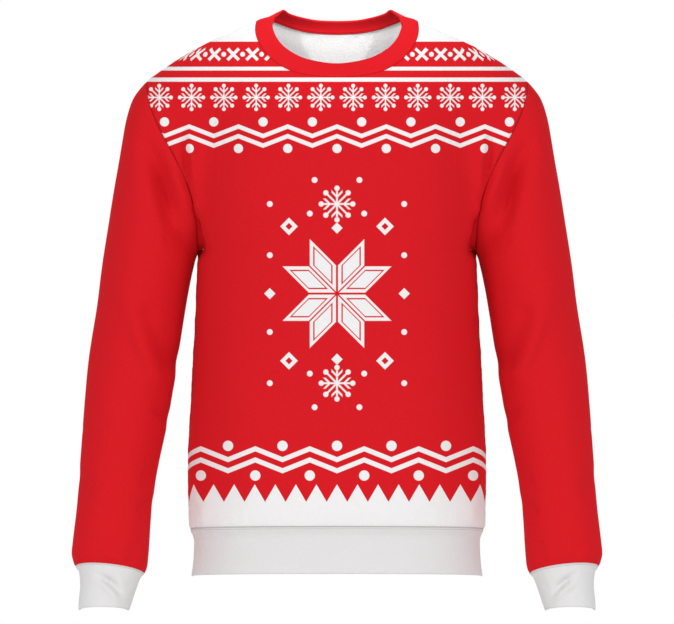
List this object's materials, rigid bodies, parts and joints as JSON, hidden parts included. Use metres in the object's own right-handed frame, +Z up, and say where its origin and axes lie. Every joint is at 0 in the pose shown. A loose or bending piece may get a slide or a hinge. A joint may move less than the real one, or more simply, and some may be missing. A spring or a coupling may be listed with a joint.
{
  "type": "christmas sweater",
  "caption": "Crew-neck long-sleeved Christmas sweater in its worn shape, hollow, with ribbed collar, cuffs and waistband.",
  "frame": {"origin": "middle of the neck opening, level with the inner ends of the shoulder seams, where the wearer's shoulders hold the sweater", "axes": "+Z up towards the neck, -Y is the front, +X is the wearer's left, on the viewer's right"},
  "size_m": [0.657, 0.2541, 0.7487],
  "materials": {
    "printed_fleece": "smooth brushed fleece, red with a white printed pattern",
    "white_rib": "fine smooth white rib knit",
    "red_rib": "fine smooth red rib knit"
  },
  "bodies": {
    "root": {"front_panel": "printed_fleece", "back_panel": "printed_fleece", "sleeve_left": "printed_fleece", "sleeve_right": "printed_fleece", "cuff_left": "white_rib", "cuff_right": "white_rib", "waistband": "white_rib", "collar": "red_rib"}
  },
  "joints": []
}
